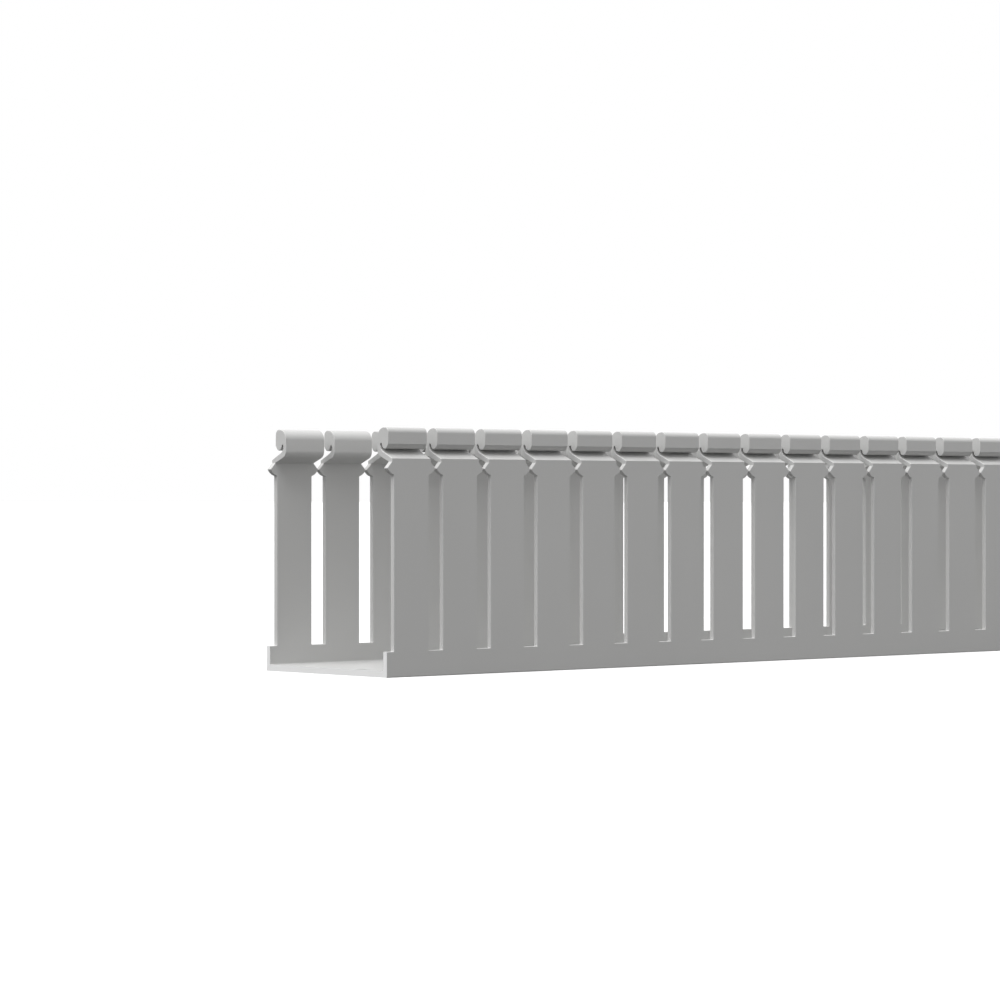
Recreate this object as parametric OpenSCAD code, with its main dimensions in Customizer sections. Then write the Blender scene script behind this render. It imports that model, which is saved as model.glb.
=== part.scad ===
// Slotted wire duct: one extruded channel with a snap head along both walls,
// slots punched through walls and heads, and fixing holes punched in the base.
// X runs along the duct, Z is up, and the origin is the middle of the underside.

/* [Channel] */
// Length of the stock piece
duct_len = 2000; // [100:10:3000]
// Width across the outer wall faces
duct_w = 60; // [40:1:120]
// Height from the underside to the top of the heads
duct_h = 77.4; // [50:0.1:120]
// Thickness of the side walls
wall_t = 1.7; // [1.2:0.1:2.2]
// Thickness of the base
base_t = 2; // [1.4:0.1:3]
// Radius inside the corners between base and walls
root_r = 0.4; // [0.2:0.1:2]
// Radius along the bottom edges
edge_r = 0.3; // [0.2:0.1:1.2]

/* [Slots] */
// Distance from one slot to the next
slot_pitch = 20; // [16:0.5:30]
// Width of the slots
slot_w = 5.8; // [4.5:0.1:7.5]
// Height of the solid band under the slots
band_h = 8; // [5:0.5:20]
// Distance from the shoulder of the wall down to the root of the ears
ear_drop = 5.1; // [4.8:0.1:8]
// Rise of an ear from its root to its tip
ear_rise = 2.1; // [1.8:0.1:2.8]
// Radius of the underside of an ear
ear_r = 4; // [3.2:0.1:6]
// Gap between the tips of two ears
tip_gap = 0.4; // [0.3:0.1:1]
// Rise of the slanted edge from the tip of an ear to the end of the head
flare_rise = 2; // [1.4:0.1:2.4]
// Gap between two heads
head_gap = 4.2; // [3:0.1:4.4]

/* [Snap head] */
// Height of the head above the shoulder of the wall
head_h = 9.7; // [9:0.1:11]
// Width of the head
head_w = 5.4; // [5.1:0.1:6]
// Distance of the head behind the outer wall face
head_inset = 1.85; // [1:0.05:2.4]
// Slope of the outside of the neck, in degrees
neck_slope = 26; // [25:1:34]
// Slope of the inside of the neck, in degrees
lining_slope = 22; // [18:1:28]
// Distance from the shoulder down to the inside crease of the neck
crease_drop = 1; // [0.8:0.1:1.6]
// Thickness of the upright part of the neck
neck_t = 1.45; // [1.1:0.05:1.6]
// Radius outside the bend of the neck
neck_r = 2.4; // [1.2:0.1:2.6]
// Radius inside the bend of the neck
bend_r = 2.4; // [1:0.1:2.4]
// Distance from the top of the head down to the middle of the bead's tip
bead_drop = 5.3; // [4.8:0.1:5.6]
// Radius of the bead's tip
bead_r = 1.4; // [1.1:0.05:1.5]
// Steepness of the bevel under the bead's face, in degrees
bevel_slope = 58; // [50:1:70]
// Width of the undercut between bead and neck
undercut_w = 0.8; // [0.5:0.05:1]
// Radius of the head's outer top edge
crown_out_r = 1.7; // [1:0.1:2]
// Radius of the head's inner top edge
crown_in_r = 3.3; // [2:0.1:3.4]

/* [Fixing holes] */
// Diameter of the holes in the base
hole_d = 5; // [4:0.1:6.5]
// Distance between the two rows of holes
row_gap = 28; // [15:1:60]
// Slots from one hole to the next in a row
hole_slots = 5; // [2:1:10]
// Distance of the first hole from the end of the duct
hole_start = 4; // [4:0.5:12]

/* [Hidden] */
$fn = 48;
cut_over = 1;

shoulder_z = duct_h - head_h;
crease_z = shoulder_z - crease_drop;
ear_z = shoulder_z - ear_drop;
tip_z = ear_z + ear_rise;
flare_z = tip_z + flare_rise;

head_in = head_inset + head_w;
neck_out = head_in - neck_t;
heel_z = crease_z + (head_in - wall_t) * tan(lining_slope);
bead = [neck_out - undercut_w - bead_r, duct_h - bead_drop];
bevel_end = bead - bead_r * [sin(bevel_slope), cos(bevel_slope)];
bevel_z = bevel_end[1] + (bevel_end[0] - head_inset) * tan(bevel_slope);

hole_pitch = hole_slots * slot_pitch;
slot_count = floor(duct_len / slot_pitch);

// Height of the neck's outside at a distance y behind the outer wall face
function neck_z(y) = shoulder_z + y * tan(neck_slope);

// Point at a distance and an angle from another point
function from(p, dist, angle) = p + dist * [cos(angle), sin(angle)];

// Middle of the circle with radius r that passes through p and q, on the right of the way from p to q
function through(p, q, r) =
    let (chord = q - p, long = norm(chord))
    (p + q) / 2 + [chord[1], -chord[0]] / long * sqrt(r * r - long * long / 4);

// What a radius r takes off a corner whose edges leave it at the angles a and b
module corner(p, a, b, r) {
    half = abs(b - a) / 2;
    middle = from(p, r / sin(half), (a + b) / 2);
    difference() {
        polygon([from(p, -0.5, (a + b) / 2), from(p, r / tan(half), a), middle, from(p, r / tan(half), b)]);
        translate(middle) circle(r);
    }
}

// Space outside the head: above the neck, round the bead's tip and into the undercut
module groove() {
    difference() {
        polygon([
            [-cut_over, neck_z(-cut_over)],
            [neck_out, neck_z(neck_out)],
            [neck_out, bead[1]],
            bead,
            bevel_end,
            [head_inset, bevel_z],
            [head_inset, duct_h + cut_over],
            [-cut_over, duct_h + cut_over]
        ]);
        translate(bead) circle(bead_r);
        corner([neck_out, neck_z(neck_out)], 90, 180 + neck_slope, bend_r);
    }
    translate([neck_out - undercut_w / 2, bead[1]]) circle(undercut_w / 2);
}

// Space inside the channel, up between the heads
module channel() {
    side = [[head_in, duct_h + cut_over], [head_in, heel_z], [wall_t, crease_z], [wall_t, base_t]];
    difference() {
        polygon([
            for (p = side) [p[0] - duct_w / 2, p[1]],
            for (i = [len(side) - 1 : -1 : 0]) [duct_w / 2 - side[i][0], side[i][1]]
        ]);
        corner([wall_t - duct_w / 2, base_t], 0, 90, root_r);
        corner([duct_w / 2 - wall_t, base_t], 180, 90, root_r);
    }
}

// Section of the whole channel
module duct_section() {
    difference() {
        translate([-duct_w / 2, 0]) square([duct_w, duct_h]);
        channel();
        for (side = [0, 1])
            mirror([side, 0]) translate([-duct_w / 2, 0]) {
                groove();
                corner([head_inset, duct_h], 0, -90, crown_out_r);
                corner([head_in, duct_h], 180, 270, crown_in_r);
                corner([head_in, heel_z], 90, 180 + lining_slope, neck_r);
                corner([0, 0], 0, 90, edge_r);
            }
    }
}

// Side view of one slot: two ears nearly close it, and above their tips it opens between the heads
module slot_outline() {
    ear = through([slot_w / 2, ear_z], [tip_gap / 2, tip_z], ear_r);
    flare_foot = tip_z - flare_rise * tip_gap / (head_gap - tip_gap);
    difference() {
        translate([-slot_w / 2, band_h]) square([slot_w, ear[1] - band_h]);
        for (side = [-1, 1])
            translate([side * ear[0], ear[1]]) circle(ear_r);
    }
    polygon([
        [0, flare_foot],
        [head_gap / 2, flare_z],
        [head_gap / 2, duct_h + cut_over],
        [-head_gap / 2, duct_h + cut_over],
        [-head_gap / 2, flare_z]
    ]);
}

// One row of holes, from its first hole to the far end of the duct
module hole_row(first_x, y) {
    for (x = [first_x : hole_pitch : duct_len / 2 - hole_d])
        translate([x, y, -cut_over]) cylinder(d = hole_d, h = base_t + 2 * cut_over);
}

module duct() {
    color("lightgray") difference() {
        rotate([90, 0, 90]) linear_extrude(duct_len, center = true) duct_section();
        for (i = [0 : slot_count])
            translate([i * slot_pitch - duct_len / 2, 0, 0])
                rotate([90, 0, 0]) linear_extrude(duct_w + 2 * cut_over, center = true) slot_outline();
        hole_row(hole_start - duct_len / 2, -row_gap / 2);
        hole_row(hole_start + hole_pitch / 2 - duct_len / 2, row_gap / 2);
    }
}

duct();
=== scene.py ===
"""Slotted wire duct: finish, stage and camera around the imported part."""
import math

import bmesh
import bpy
from bpy.props import FloatProperty, FloatVectorProperty, IntProperty, PointerProperty, StringProperty
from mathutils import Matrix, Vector


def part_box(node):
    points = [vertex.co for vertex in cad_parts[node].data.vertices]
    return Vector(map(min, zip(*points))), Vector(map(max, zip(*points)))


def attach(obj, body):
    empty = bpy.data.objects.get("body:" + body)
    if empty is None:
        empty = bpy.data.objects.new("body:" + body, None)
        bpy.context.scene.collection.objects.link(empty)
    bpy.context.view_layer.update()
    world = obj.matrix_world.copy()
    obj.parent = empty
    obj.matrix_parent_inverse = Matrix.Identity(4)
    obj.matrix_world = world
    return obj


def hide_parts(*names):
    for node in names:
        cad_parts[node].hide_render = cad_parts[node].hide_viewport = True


bl_info = {
    "name": "Slotted wire duct",
    "version": (1, 0, 0),
    "blender": (4, 5, 0),
    "location": "3D View > Sidebar > Wire Duct",
    "description": "Builds a slotted wire duct in rigid PVC, and a studio stage for it",
    "category": "Add Mesh",
}

MM = 0.001
NODE = "duct"

# Facets of the rounded parts
BEND_FACETS = 5
UNDERCUT_FACETS = 4
BEAD_FACETS = 8
CROWN_OUT_FACETS = 5
CROWN_IN_FACETS = 7
HEEL_FACETS = 5
EAR_FACETS = 5
EDGE_FACETS = 3
ROOT_FACETS = 4
HALF_HOLE_FACETS = 10

# Corners closer than this are one
SAME_POINT = 0.002 * MM
# Edges that turn by more than this are broken where the punch cut them, or shaded as sharp
BROKEN_FROM = math.radians(32)
SHARP_FROM = math.radians(28)

QUARTER = math.pi / 2

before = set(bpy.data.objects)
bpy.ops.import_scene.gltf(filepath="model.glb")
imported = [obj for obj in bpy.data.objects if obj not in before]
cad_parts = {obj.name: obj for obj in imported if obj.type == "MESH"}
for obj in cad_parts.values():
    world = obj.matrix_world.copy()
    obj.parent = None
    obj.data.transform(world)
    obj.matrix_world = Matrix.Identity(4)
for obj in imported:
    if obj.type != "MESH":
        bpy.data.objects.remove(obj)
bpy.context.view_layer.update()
low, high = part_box(NODE)


# Properties


def length(name, description, default):
    """A length in metres, shown in the scene's units."""
    return FloatProperty(name=name, description=description, default=default, unit="LENGTH", precision=5)


def angle(name, description, degrees):
    """An angle whose default is given in degrees."""
    return FloatProperty(name=name, description=description, default=math.radians(degrees), subtype="ANGLE")


def colour(name, description, default):
    """A colour as an sRGB hex value."""
    return StringProperty(name=name, description=description, default=default)


class ChannelSizes(bpy.types.PropertyGroup):
    """The plain channel"""

    run: length("Length", "Length of the stock piece", high.x - low.x)
    width: length("Width", "Width across the outer wall faces", high.y - low.y)
    height: length("Height", "Height to the top of the heads", high.z - low.z)
    wall: length("Wall", "Thickness of the side walls", 1.7 * MM)
    base: length("Base", "Thickness of the base", 2 * MM)
    root_r: length("Root radius", "Radius inside the corners between base and walls", 0.4 * MM)
    edge_r: length("Edge radius", "Radius along the bottom edges", 0.3 * MM)


class SlotSizes(bpy.types.PropertyGroup):
    """The slots, and the ears that nearly close them"""

    pitch: length("Pitch", "Distance from one slot to the next", 20 * MM)
    width: length("Width", "Width of the slots", 5.8 * MM)
    band: length("Band", "Height of the solid band under the slots", 8 * MM)
    ear_drop: length("Ear drop", "From the shoulder of the wall down to the root of the ears", 5.1 * MM)
    ear_rise: length("Ear rise", "Rise of an ear from its root to its tip", 2.1 * MM)
    ear_r: length("Ear radius", "Radius of the underside of an ear", 4 * MM)
    tip_gap: length("Tip gap", "Gap between the tips of two ears", 0.4 * MM)
    flare_rise: length("Flare rise", "Rise from the tip of an ear to the end of the head", 2 * MM)
    head_gap: length("Head gap", "Gap between two heads", 4.2 * MM)
    cut_r: length("Cut edge", "Width of the worn edge round every punched face", 0.12 * MM)


class HeadSizes(bpy.types.PropertyGroup):
    """The head that a cover clips over"""

    height: length("Height", "Height of the head above the shoulder of the wall", 9.7 * MM)
    width: length("Width", "Width of the head", 5.4 * MM)
    inset: length("Inset", "Distance of the head behind the outer wall face", 1.85 * MM)
    neck_slope: angle("Neck slope", "Slope of the outside of the neck", 26)
    lining_slope: angle("Lining slope", "Slope of the inside of the neck", 22)
    crease_drop: length("Crease drop", "From the shoulder down to the inside crease of the neck", 1 * MM)
    neck: length("Neck", "Thickness of the upright part of the neck", 1.45 * MM)
    neck_r: length("Neck radius", "Radius outside the bend of the neck", 2.4 * MM)
    bend_r: length("Bend radius", "Radius inside the bend of the neck", 2.4 * MM)
    bead_drop: length("Bead drop", "From the top of the head down to the middle of the bead's tip", 5.3 * MM)
    bead_r: length("Bead radius", "Radius of the bead's tip", 1.4 * MM)
    bevel_slope: angle("Bevel slope", "Steepness of the bevel under the bead's face", 58)
    undercut: length("Undercut", "Width of the undercut between bead and neck", 0.8 * MM)
    crown_out_r: length("Outer crown", "Radius of the head's outer top edge", 1.7 * MM)
    crown_in_r: length("Inner crown", "Radius of the head's inner top edge", 3.3 * MM)


class HoleSizes(bpy.types.PropertyGroup):
    """The fixing holes in the base"""

    diameter: length("Diameter", "Diameter of the holes", 5 * MM)
    row_gap: length("Row gap", "Distance between the two rows", 28 * MM)
    slots: IntProperty(name="Slots", description="Slots from one hole to the next in a row", default=5, min=2)
    start: length("Start", "Distance of the first hole from the end of the duct", 4 * MM)


class Finish(bpy.types.PropertyGroup):
    """The plastic"""

    skin: colour("Skin", "Colour of the extruded skin", "#BCBCBB")
    cut: colour("Cut", "Colour of the punched faces", "#C2C2C1")
    streak: length("Streak", "Width of the die lines along the extrusion", 0.9 * MM)
    grain: length("Grain", "Size of the grain of the punched faces", 0.3 * MM)
    cloud: length("Cloud", "Size of the faint clouds in the colour", 71.4 * MM)
    relief: length("Relief", "Depth of the die lines and of the grain", 0.03 * MM)


class StageSettings(bpy.types.PropertyGroup):
    """Camera, lamps and floor"""

    distance: length("Distance", "From the near end of the duct back to the camera", 0.68903)
    aside: length("Aside", "From the near wall out to the camera", 0.82282)
    eye: length("Eye height", "Height of the camera above the floor", 0.05485)
    heading: angle("Heading", "Turn of the level camera from straight across to along the duct", 41.805)
    lens: FloatProperty(name="Lens", description="Focal length in mm on a 36 mm sensor", default=125.28)
    key: FloatProperty(name="Key", description="Strength of the soft key lamp", default=3.1)
    key_width: angle("Key width", "Angle that the key lamp fills, which softens its shadows", 50)
    key_from: FloatVectorProperty(
        name="Key from", description="Direction the key light comes from", default=(-0.42, -0.05, 0.9)
    )
    fill: FloatProperty(name="Fill", description="Strength of the even light all round", default=0.77)
    floor_half: length("Floor reach", "Half the side of the square floor", 60)
    floor: colour("Floor", "Colour of the floor", "#E6E6E6")
    bounce: colour("Bounce", "Colour of the floor for the light that it sends back up", "#5A5A5A")


# Nodes and materials


def linear(hex_colour):
    """An sRGB hex value as linear RGBA."""
    parts = [int(hex_colour[i : i + 2], 16) / 255 for i in (1, 3, 5)]
    return [p / 12.92 if p <= 0.04045 else ((p + 0.055) / 1.055) ** 2.4 for p in parts] + [1]


def add(tree, kind, links=None, values=None, **settings):
    """Adds a node to a tree, with its settings, the sockets linked to its inputs, and its input values."""
    node = tree.nodes.new(kind)
    for name, value in settings.items():
        setattr(node, name, value)
    for name, value in (values or {}).items():
        node.inputs[name].default_value = value
    for name, socket in (links or {}).items():
        tree.links.new(socket, node.inputs[name])
    return node


def two_colours(tree, factor, first, second):
    """A colour that goes from the first to the second hex colour with a factor."""
    mix = add(tree, "ShaderNodeMix", {"Factor": factor}, data_type="RGBA")
    mix.inputs["A"].default_value = linear(first)
    mix.inputs["B"].default_value = linear(second)
    return mix.outputs["Result"]


def new_material(name):
    """An empty node material."""
    material = bpy.data.materials.new(name)
    material.use_nodes = True
    material.node_tree.nodes.clear()
    return material, material.node_tree


def noise(tree, place, size, detail):
    """Noise whose grains have a real size, as a value."""
    node = add(tree, "ShaderNodeTexNoise", {"Vector": place}, {"Scale": 1 / size, "Detail": detail})
    return node.outputs[0]


def rigid_pvc(finish):
    """Rigid PVC, extruded and then punched: a satin skin with faint die lines along the duct,
    and paler, duller faces where the punch sheared it."""
    material, tree = new_material("rigid_pvc")
    place = add(tree, "ShaderNodeTexCoord").outputs["Object"]
    # The die lines run a hundred times as far along the duct as across it
    along = add(tree, "ShaderNodeMapping", {"Vector": place}, {"Scale": (0.01, 1, 1)})
    die_lines = noise(tree, along.outputs[0], finish.streak, 2)
    clouds = noise(tree, place, finish.cloud, 3)
    grain = noise(tree, place, finish.grain, 3)
    punched = add(tree, "ShaderNodeAttribute", attribute_name="punched").outputs["Fac"]

    base = two_colours(tree, punched, finish.skin, finish.cut)
    shade = add(
        tree,
        "ShaderNodeMapRange",
        {"Value": clouds},
        {"From Min": 0.3, "From Max": 0.7, "To Min": 0.975, "To Max": 1.02},
    )
    tone = add(
        tree,
        "ShaderNodeMix",
        {"A": base, "B": shade.outputs[0]},
        {"Factor": 1.0},
        data_type="RGBA",
        blend_type="MULTIPLY",
    )
    skin_rough = add(tree, "ShaderNodeMapRange", {"Value": die_lines}, {"To Min": 0.4, "To Max": 0.52})
    rough = add(
        tree, "ShaderNodeMix", {"Factor": punched, "A": skin_rough.outputs[0]}, {"B": 0.7}, data_type="FLOAT"
    )
    relief = add(tree, "ShaderNodeMix", {"Factor": punched, "A": die_lines, "B": grain}, data_type="FLOAT")
    bump = add(
        tree,
        "ShaderNodeBump",
        {"Height": relief.outputs["Result"]},
        {"Strength": 0.12, "Distance": finish.relief},
    )
    shader = add(
        tree,
        "ShaderNodeBsdfPrincipled",
        {
            "Base Color": tone.outputs["Result"],
            "Roughness": rough.outputs["Result"],
            "Normal": bump.outputs[0],
        },
        {"IOR": 1.53},
    )
    add(tree, "ShaderNodeOutputMaterial", {"Surface": shader.outputs[0]})
    return material


def studio_floor(stage):
    """Matt painted floor: pale and a little lifted for the camera, darker for the light it sends back up."""
    material, tree = new_material("studio_floor")
    camera_ray = add(tree, "ShaderNodeLightPath").outputs["Is Camera Ray"]
    paint = two_colours(tree, camera_ray, stage.bounce, stage.floor)
    matt = add(tree, "ShaderNodeBsdfDiffuse", {"Color": paint}, {"Roughness": 0.5})
    lift = add(tree, "ShaderNodeMath", {0: camera_ray}, {1: 0.1}, operation="MULTIPLY")
    glow = add(tree, "ShaderNodeEmission", {"Strength": lift.outputs[0]}, {"Color": (1, 1, 1, 1)})
    both = add(tree, "ShaderNodeAddShader", {0: matt.outputs[0], 1: glow.outputs[0]})
    add(tree, "ShaderNodeOutputMaterial", {"Surface": both.outputs[0]})
    return material


def studio_world(fill):
    """Even light all round, and plain white where the camera or a reflection looks past the floor."""
    world = bpy.data.worlds.new("studio")
    world.use_nodes = True
    tree = world.node_tree
    tree.nodes.clear()
    path = add(tree, "ShaderNodeLightPath").outputs
    seen = path["Is Camera Ray"]
    for ray in ("Is Glossy Ray", "Is Transmission Ray"):
        seen = add(tree, "ShaderNodeMath", {0: seen, 1: path[ray]}, operation="MAXIMUM").outputs[0]
    level = add(tree, "ShaderNodeMapRange", {"Value": seen}, {"To Min": fill, "To Max": 1.0})
    back = add(tree, "ShaderNodeBackground", {"Strength": level.outputs[0]}, {"Color": (1, 1, 1, 1)})
    add(tree, "ShaderNodeOutputWorld", {"Surface": back.outputs[0]})
    return world


# Outlines, as (across, up) or (along, up) in metres


def step(point, distance, turn):
    """The point at a distance and an angle from another point."""
    return (point[0] + distance * math.cos(turn), point[1] + distance * math.sin(turn))


def arc(middle, radius, start, end, count):
    """Points on an arc, both ends included."""
    return [step(middle, radius, start + (end - start) * i / count) for i in range(count + 1)]


def rounded(corner, coming, going, radius, count):
    """Points that round a corner whose edges leave it at the angles coming and going."""
    half = abs(going - coming) / 2
    middle = step(corner, radius / math.sin(half), (coming + going) / 2)
    turn = math.copysign(QUARTER - half, coming - going)
    facing = (coming + going) / 2 + math.pi
    return arc(middle, radius, facing - turn, facing + turn, count)


def head_outline(channel, head):
    """Section of a head from the shoulder of the wall, round the bead, to the inside crease."""
    shoulder = channel.height - head.height
    crease = shoulder - head.crease_drop
    inner = head.inset + head.width
    neck = inner - head.neck
    heel = crease + (inner - channel.wall) * math.tan(head.lining_slope)
    bend = shoulder + neck * math.tan(head.neck_slope)
    bead = (neck - head.undercut - head.bead_r, channel.height - head.bead_drop)
    bevel_turn = -QUARTER - head.bevel_slope
    bevel_end = step(bead, head.bead_r, bevel_turn)
    bevel_top = bevel_end[1] + (bevel_end[0] - head.inset) * math.tan(head.bevel_slope)
    return [
        (0, shoulder),
        *rounded((neck, bend), math.pi + head.neck_slope, QUARTER, head.bend_r, BEND_FACETS),
        *arc((neck - head.undercut / 2, bead[1]), head.undercut / 2, 0, math.pi, UNDERCUT_FACETS),
        *arc(bead, head.bead_r, 0, bevel_turn, BEAD_FACETS)[1:],
        (head.inset, bevel_top),
        *rounded((head.inset, channel.height), -QUARTER, 0, head.crown_out_r, CROWN_OUT_FACETS),
        *rounded((inner, channel.height), math.pi, 3 * QUARTER, head.crown_in_r, CROWN_IN_FACETS)[1:],
        *rounded((inner, heel), QUARTER, math.pi + head.lining_slope, head.neck_r, HEEL_FACETS),
        (channel.wall, crease),
    ]


def slot_edge(channel, slots, head):
    """Edge of a finger beside a slot, from the middle of the slot's foot up to the foot of the head."""
    half = slots.width / 2
    root = channel.height - head.height - slots.ear_drop
    tip = (slots.tip_gap / 2, root + slots.ear_rise)
    chord = Vector((tip[0] - half, slots.ear_rise))
    reach = math.sqrt(slots.ear_r**2 - chord.length_squared / 4)
    centre = Vector((half, root)) + chord / 2 + Vector((chord.y, -chord.x)).normalized() * reach
    start = math.atan2(root - centre.y, half - centre.x)
    end = math.atan2(tip[1] - centre.y, tip[0] - centre.x)
    return [
        (0, slots.band),
        (half, slots.band),
        *arc(centre, slots.ear_r, start, end, EAR_FACETS),
        (slots.head_gap / 2, tip[1] + slots.flare_rise),
    ]


# Mesh of the channel


class Shell:
    """A bmesh that joins faces given by their corner points, and marks those that the punch cut."""

    def __init__(self):
        self.mesh = bmesh.new()
        self.punched = self.mesh.faces.layers.float.new("punched")

    def face(self, points, cut=False):
        corners = [self.mesh.verts.new(p) for p in points]
        self.mesh.faces.new(corners)[self.punched] = float(cut)

    def strip(self, line, lift, cut=False):
        """Faces between a line of points and its copy, where lift gives both ends of the edge at a point."""
        for p, q in zip(line, line[1:]):
            self.face([*lift(p), *reversed(lift(q))], cut)

    def weld(self):
        bmesh.ops.remove_doubles(self.mesh, verts=self.mesh.verts, dist=SAME_POINT)
        bmesh.ops.recalc_face_normals(self.mesh, faces=self.mesh.faces)


def without_repeats(ring):
    """A closed outline without points that lie on the one before."""
    return [p for i, p in enumerate(ring) if math.dist(p, ring[i - 1]) > SAME_POINT / 2]


def wall_bay(shell, x, side, sizes):
    """One finger of one wall, with its head and its stretch of band, from slot to slot."""
    channel, slots, head = sizes.channel, sizes.slots, sizes.head
    wall_face = side * channel.width / 2
    end = x + slots.pitch

    def at(along, depth, up):
        return (along, wall_face - side * depth, up)

    def through_wall(point):
        return [at(point[0], depth, point[1]) for depth in (0, channel.wall)]

    edge = slot_edge(channel, slots, head)
    outline = head_outline(channel, head)
    left = [(x + along, up) for along, up in edge]
    right = [(end - along, up) for along, up in edge]
    (foot_left, foot), (foot_right, _) = left[-1], right[-1]

    outer = (0, channel.edge_r, outline[0][1])
    inner = (channel.wall, channel.base + channel.root_r, outline[-1][1])
    for depth, bottom, top in (outer, inner):
        cheek = [(x, bottom), *left, (foot_left, top), (foot_right, top), *reversed(right), (end, bottom)]
        shell.face([at(along, depth, up) for along, up in without_repeats(cheek)])
    for row in (left, right):
        shell.strip(row, through_wall, cut=True)
        ring = without_repeats([(0, foot), *outline, (channel.wall, foot)])
        shell.face([at(row[-1][0], *point) for point in ring], cut=True)
    shell.strip(outline, lambda point: [at(foot_left, *point), at(foot_right, *point)])


def base_bay(shell, x, sizes, holes):
    """One stretch of the base, from slot to slot, with the holes given as (along, across)."""
    channel = sizes.channel
    end = x + sizes.slots.pitch
    half = channel.width / 2
    row = sizes.holes.row_gap / 2
    hole_r = sizes.holes.diameter / 2
    edge = rounded((half, 0), math.pi, QUARTER, channel.edge_r, EDGE_FACETS)
    root = rounded((half - channel.wall, channel.base), math.pi, QUARTER, channel.root_r, ROOT_FACETS)
    for side in (-1, 1):
        for line in (edge, root):
            shell.strip(line, lambda point: [(along, side * point[0], point[1]) for along in (x, end)])
    for z, reach in ((0, half - channel.edge_r), (channel.base, half - channel.wall - channel.root_r)):
        for low_y, high_y in ((-reach, -row), (-row, row), (row, reach)):
            ring = []
            # Along the lower side to the far end, and back along the upper side, round the holes on them
            for y, start, stop, notch_from in ((low_y, x, end, math.pi), (high_y, end, x, 0)):
                ring.append((start, y))
                for centre in (hole for hole in holes if hole[1] == y):
                    ring.extend(arc(centre, hole_r, notch_from, notch_from - math.pi, HALF_HOLE_FACETS))
                ring.append((stop, y))
            shell.face([(*point, z) for point in ring])
    for centre in holes:
        rim = arc(centre, hole_r, 0, 2 * math.pi, 2 * HALF_HOLE_FACETS)
        shell.strip(rim, lambda point: [(*point, 0), (*point, channel.base)], cut=True)


def stretch_mesh(sizes):
    """The repeating stretch of the duct: from one hole of a row to the next, starting at a slot."""
    shell = Shell()
    pitch, hole = sizes.slots.pitch, sizes.holes
    run = hole.slots * pitch
    centres = [(hole.start, -hole.row_gap / 2), (hole.start + run / 2, hole.row_gap / 2)]
    for i in range(hole.slots):
        x = i * pitch
        for side in (-1, 1):
            wall_bay(shell, x, side, sizes)
        base_bay(shell, x, sizes, [c for c in centres if x < c[0] < x + pitch])
    shell.weld()
    corners = [e for e in shell.mesh.edges if len(e.link_faces) == 2 and e.calc_face_angle() > BROKEN_FROM]
    cut = [e for e in corners if any(f[shell.punched] for f in e.link_faces)]
    bmesh.ops.bevel(
        shell.mesh,
        geom=cut,
        offset=sizes.slots.cut_r,
        offset_type="OFFSET",
        segments=1,
        profile=0.5,
        affect="EDGES",
        clamp_overlap=True,
    )
    mesh = bpy.data.meshes.new("duct_stretch")
    shell.mesh.to_mesh(mesh)
    shell.mesh.free()
    return mesh


def repeat_tree():
    """Geometry Nodes: a row of instances along X, realised, welded and given its material."""
    tree = bpy.data.node_groups.new("duct_row", "GeometryNodeTree")
    face = tree.interface
    face.new_socket("Geometry", in_out="INPUT", socket_type="NodeSocketGeometry")
    for name, kind in (
        ("Count", "NodeSocketInt"),
        ("Start", "NodeSocketFloat"),
        ("Pitch", "NodeSocketFloat"),
        ("Weld", "NodeSocketFloat"),
        ("Material", "NodeSocketMaterial"),
    ):
        face.new_socket(name, in_out="INPUT", socket_type=kind)
    face.new_socket("Geometry", in_out="OUTPUT", socket_type="NodeSocketGeometry")
    given = add(tree, "NodeGroupInput").outputs
    start = add(tree, "ShaderNodeCombineXYZ", {"X": given["Start"]})
    pitch = add(tree, "ShaderNodeCombineXYZ", {"X": given["Pitch"]})
    line = add(
        tree,
        "GeometryNodeMeshLine",
        {"Count": given["Count"], "Start Location": start.outputs[0], "Offset": pitch.outputs[0]},
    )
    row = add(
        tree, "GeometryNodeInstanceOnPoints", {"Points": line.outputs[0], "Instance": given["Geometry"]}
    )
    real = add(tree, "GeometryNodeRealizeInstances", {"Geometry": row.outputs[0]})
    welded = add(
        tree, "GeometryNodeMergeByDistance", {"Geometry": real.outputs[0], "Distance": given["Weld"]}
    )
    painted = add(
        tree, "GeometryNodeSetMaterial", {"Geometry": welded.outputs[0], "Material": given["Material"]}
    )
    add(tree, "NodeGroupOutput", {"Geometry": painted.outputs[0]})
    return tree


def set_inputs(modifier, values):
    """Sets a Geometry Nodes modifier's inputs by the names of its sockets."""
    for item in modifier.node_group.interface.items_tree:
        if item.item_type == "SOCKET" and item.in_out == "INPUT" and item.name in values:
            modifier[item.identifier] = values[item.name]


def baked(thing):
    """The evaluated mesh of an object, as a mesh of its own."""
    graph = bpy.context.evaluated_depsgraph_get()
    return bpy.data.meshes.new_from_object(thing.evaluated_get(graph), depsgraph=graph)


def close_ends(mesh):
    """Fills the two open ends of the row, which a saw cut."""
    ends = bmesh.new()
    ends.from_mesh(mesh)
    rims = [e for e in ends.edges if e.is_boundary]
    caps = bmesh.ops.edgeloop_fill(ends, edges=rims)["faces"]
    punched = ends.faces.layers.float["punched"]
    for cap in caps:
        cap[punched] = 1.0
    bmesh.ops.recalc_face_normals(ends, faces=ends.faces)
    ends.to_mesh(mesh)
    ends.free()


# Operators


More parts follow.
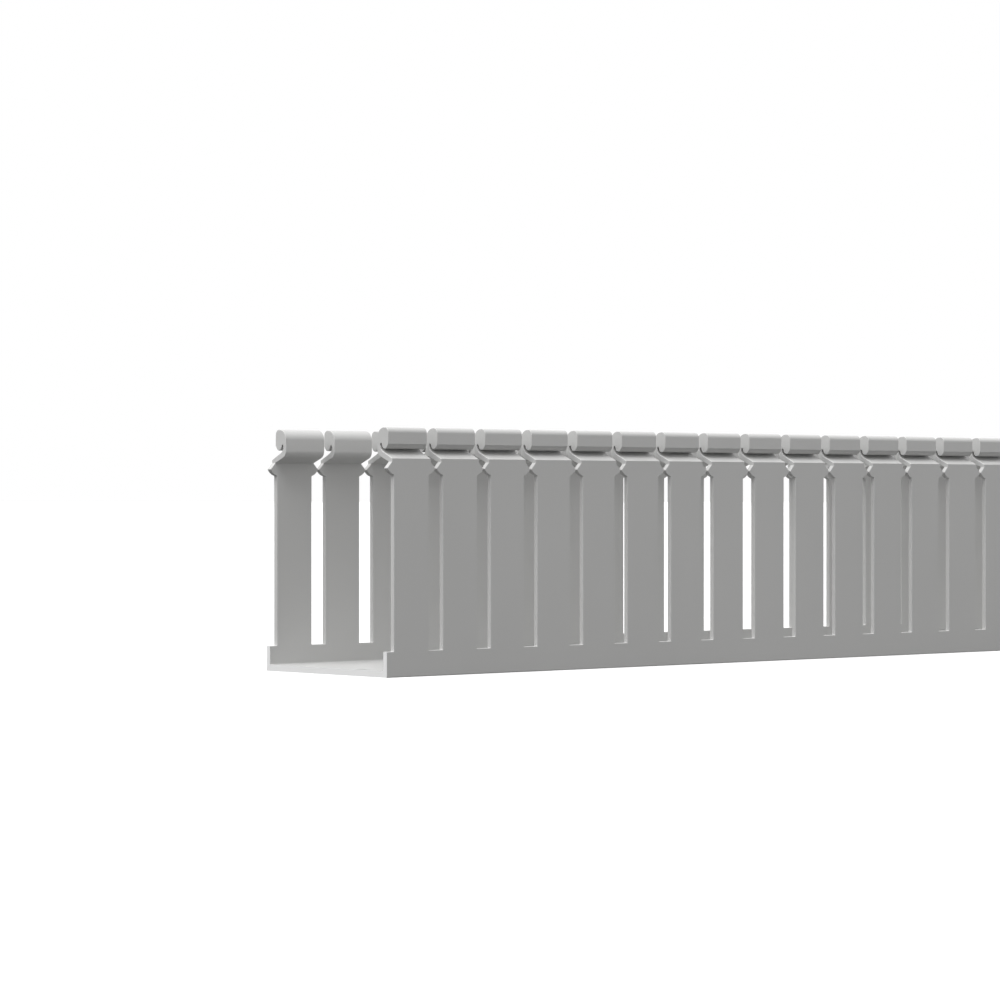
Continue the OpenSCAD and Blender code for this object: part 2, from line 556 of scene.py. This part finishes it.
class WIREDUCT_OT_body(bpy.types.Operator):
    """Build the duct's body as a row of equal stretches"""

    bl_idname = "wireduct.body"
    bl_label = "Duct body"

    def execute(self, context):
        sizes = context.scene.wire_duct
        run = sizes.holes.slots * sizes.slots.pitch
        count = round(sizes.channel.run / run)
        if abs(count * run - sizes.channel.run) > SAME_POINT:
            raise ValueError("The duct's length isn't a whole number of stretches from hole to hole")
        material = rigid_pvc(sizes.finish)
        piece = bpy.data.objects.new("duct_body", stretch_mesh(sizes))
        context.scene.collection.objects.link(piece)
        row = piece.modifiers.new("row", "NODES")
        row.node_group = repeat_tree()
        inputs = {
            "Count": count,
            "Start": -sizes.channel.run / 2,
            "Pitch": run,
            "Weld": SAME_POINT,
            "Material": material,
        }
        set_inputs(row, inputs)
        piece.data = baked(piece)
        piece.modifiers.clear()
        close_ends(piece.data)
        piece.data.shade_smooth()
        piece.data.set_sharp_from_angle(angle=SHARP_FROM)
        even = piece.modifiers.new("even", "WEIGHTED_NORMAL")
        even.keep_sharp = True
        even.weight = 100
        piece.data = baked(piece)
        piece.modifiers.clear()
        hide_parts(NODE)
        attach(piece, "root")
        return {"FINISHED"}


class WIREDUCT_OT_stage(bpy.types.Operator):
    """Set up the floor, the lamps and the camera"""

    bl_idname = "wireduct.stage"
    bl_label = "Stage"

    def execute(self, context):
        scene = context.scene
        sizes = scene.wire_duct
        stage = sizes.stage
        channel = sizes.channel

        grid = bmesh.new()
        bmesh.ops.create_grid(grid, x_segments=1, y_segments=1, size=stage.floor_half)
        mesh = bpy.data.meshes.new("floor")
        grid.to_mesh(mesh)
        grid.free()
        mesh.materials.append(studio_floor(stage))
        floor = bpy.data.objects.new("floor", mesh)
        scene.collection.objects.link(floor)

        lamp = bpy.data.lights.new("key", "SUN")
        lamp.energy = stage.key
        lamp.angle = stage.key_width
        key = bpy.data.objects.new("key", lamp)
        key.rotation_euler = Vector(stage.key_from).to_track_quat("Z", "Y").to_euler()
        scene.collection.objects.link(key)

        scene.world = studio_world(stage.fill)

        lens = bpy.data.cameras.new("camera")
        lens.lens = stage.lens
        lens.sensor_width = 36
        lens.clip_start = 0.05
        lens.clip_end = 300
        camera = bpy.data.objects.new("camera", lens)
        camera.location = (-channel.run / 2 - stage.distance, -channel.width / 2 - stage.aside, stage.eye)
        camera.rotation_euler = (math.pi / 2, 0, -stage.heading)
        scene.collection.objects.link(camera)
        scene.camera = camera
        scene.view_settings.view_transform = "Standard"
        return {"FINISHED"}


class WireDuct(bpy.types.PropertyGroup):
    """Everything that can be set on the duct and its stage"""

    channel: PointerProperty(type=ChannelSizes, name="Channel", description="Sizes of the plain channel")
    slots: PointerProperty(type=SlotSizes, name="Slots", description="Sizes of the slots and ears")
    head: PointerProperty(type=HeadSizes, name="Head", description="Sizes of the heads")
    holes: PointerProperty(type=HoleSizes, name="Holes", description="Sizes of the fixing holes")
    finish: PointerProperty(type=Finish, name="Finish", description="Colours and grain of the plastic")
    stage: PointerProperty(type=StageSettings, name="Stage", description="Camera, lamps and floor")


class WIREDUCT_PT_panel(bpy.types.Panel):
    """Sizes and buttons of the wire duct"""

    bl_idname = "WIREDUCT_PT_panel"
    bl_label = "Wire Duct"
    bl_space_type = "VIEW_3D"
    bl_region_type = "UI"
    bl_category = "Wire Duct"

    def draw(self, context):
        layout = self.layout
        sizes = context.scene.wire_duct
        for name in ("channel", "slots", "head", "holes", "finish", "stage"):
            box = layout.box()
            box.label(text=name.capitalize())
            group = getattr(sizes, name)
            for key in group.__annotations__:
                box.prop(group, key)
        for operator in (WIREDUCT_OT_body, WIREDUCT_OT_stage):
            layout.operator(operator.bl_idname)


CLASSES = (
    ChannelSizes,
    SlotSizes,
    HeadSizes,
    HoleSizes,
    Finish,
    StageSettings,
    WireDuct,
    WIREDUCT_OT_body,
    WIREDUCT_OT_stage,
    WIREDUCT_PT_panel,
)


def register():
    for cls in CLASSES:
        bpy.utils.register_class(cls)
    bpy.types.Scene.wire_duct = PointerProperty(type=WireDuct)


def unregister():
    del bpy.types.Scene.wire_duct
    for cls in reversed(CLASSES):
        bpy.utils.unregister_class(cls)


def main():
    register()
    bpy.ops.wireduct.stage()
    bpy.ops.wireduct.body()


if __name__ == "__main__":
    main()
